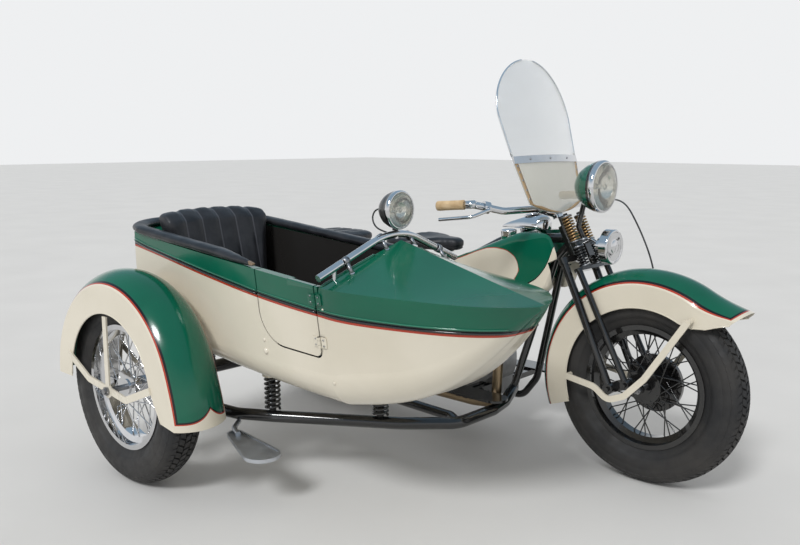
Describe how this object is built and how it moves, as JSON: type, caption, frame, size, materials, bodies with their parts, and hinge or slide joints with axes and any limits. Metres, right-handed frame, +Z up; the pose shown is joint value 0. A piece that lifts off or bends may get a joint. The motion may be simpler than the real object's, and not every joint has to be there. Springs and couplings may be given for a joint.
{
  "type": "sidecar motorcycle",
  "caption": "Classic V-twin motorcycle with springer fork and a boat-shaped passenger sidecar on its right; wheels, steering, door and side stand move.",
  "frame": {"origin": "on the ground under the middle of the bounding box", "axes": "+X forward, +Y to the rider's left, +Z up"},
  "size_m": [2.2515, 1.7649, 1.4655],
  "materials": {
    "green_paint": "gloss",
    "cream_paint": "gloss",
    "black_paint": "gloss",
    "chrome": "polished",
    "steel": "satin",
    "engine_metal": "satin",
    "tyre": "matt",
    "black_leather": "satin",
    "clear_sheet": "clear",
    "grip_rubber": "matt",
    "red_lens": "gloss"
  },
  "bodies": {
    "outfit": {"frame": "black_paint", "engine": "engine_metal", "gearbox": "engine_metal", "primary_cover": "black_paint", "exhaust": "steel", "fuel_tanks": "green_paint", "instrument_panel": "chrome", "saddle": "black_leather", "saddle_post": "steel", "rear_fender": "green_paint", "pillion_pad": "black_leather", "luggage_rack": "chrome", "oil_tank": "black_paint", "footboards": "black_paint", "tail_lamp": "red_lens", "rear_axle": "steel", "drive_chain": "steel", "carburettor": "chrome", "spotlight_wire": "black_paint", "sidecar_hull": "cream_paint", "sidecar_seat_cushion": "black_leather", "sidecar_seat_back": "black_leather", "sidecar_coaming_pad": "black_leather", "sidecar_grab_rail": "chrome", "sidecar_spotlight": "chrome", "sidecar_fender": "green_paint", "sidecar_fender_brace": "cream_paint", "sidecar_axle": "steel", "sidecar_chassis": "black_paint", "sidecar_springs": "black_paint", "sidecar_step": "engine_metal"},
    "steering": {"fork_rigid_legs": "black_paint", "fork_spring_legs": "black_paint", "fork_springs": "black_paint", "fork_rockers": "black_paint", "front_fender": "green_paint", "front_fender_brace": "cream_paint", "front_axle": "steel", "handlebar": "chrome", "handlebar_grips": "grip_rubber", "handlebar_levers": "chrome", "front_brake_cable": "black_paint", "head_lamp": "chrome", "horn": "chrome", "windshield": "clear_sheet", "windshield_band": "chrome"},
    "front_wheel": {"front_tyre": "tyre", "front_wheel_spokes": "black_paint", "front_brake_drum": "black_paint"},
    "rear_wheel": {"rear_tyre": "tyre", "rear_wheel_spokes": "chrome", "rear_drum_and_sprocket": "black_paint"},
    "sidecar_wheel": {"sidecar_tyre": "tyre", "sidecar_wheel_spokes": "chrome"},
    "door": {"sidecar_door": "cream_paint"},
    "side_stand": {"side_stand": "black_paint"}
  },
  "joints": [
    {"name": "steering", "type": "hinge", "parent": "outfit", "child": "steering", "pos_m": [0.8748, 0.4366, 0], "axis": [-0.454, 0, 0.891], "range_deg": [-30, 30]},
    {"name": "front_wheel_spin", "type": "hinge", "parent": "steering", "child": "front_wheel", "pos_m": [0.7858, 0.4366, 0.34], "axis": [0, 1, 0], "continuous": true},
    {"name": "rear_wheel_spin", "type": "hinge", "parent": "outfit", "child": "rear_wheel", "pos_m": [-0.7252, 0.4366, 0.34], "axis": [0, 1, 0], "continuous": true},
    {"name": "sidecar_wheel_spin", "type": "hinge", "parent": "outfit", "child": "sidecar_wheel", "pos_m": [-0.5202, -0.7634, 0.34], "axis": [0, 1, 0], "continuous": true},
    {"name": "sidecar_door_hinge", "type": "hinge", "parent": "outfit", "child": "door", "pos_m": [0.2908, -0.63393, 0.6], "axis": [0, -0.1534, 0.9882], "range_deg": [0, 80]},
    {"name": "side_stand_hinge", "type": "hinge", "parent": "outfit", "child": "side_stand", "pos_m": [-0.0252, 0.5486, 0.176], "axis": [0, -1, 0], "range_deg": [0, 55]}
  ]
}
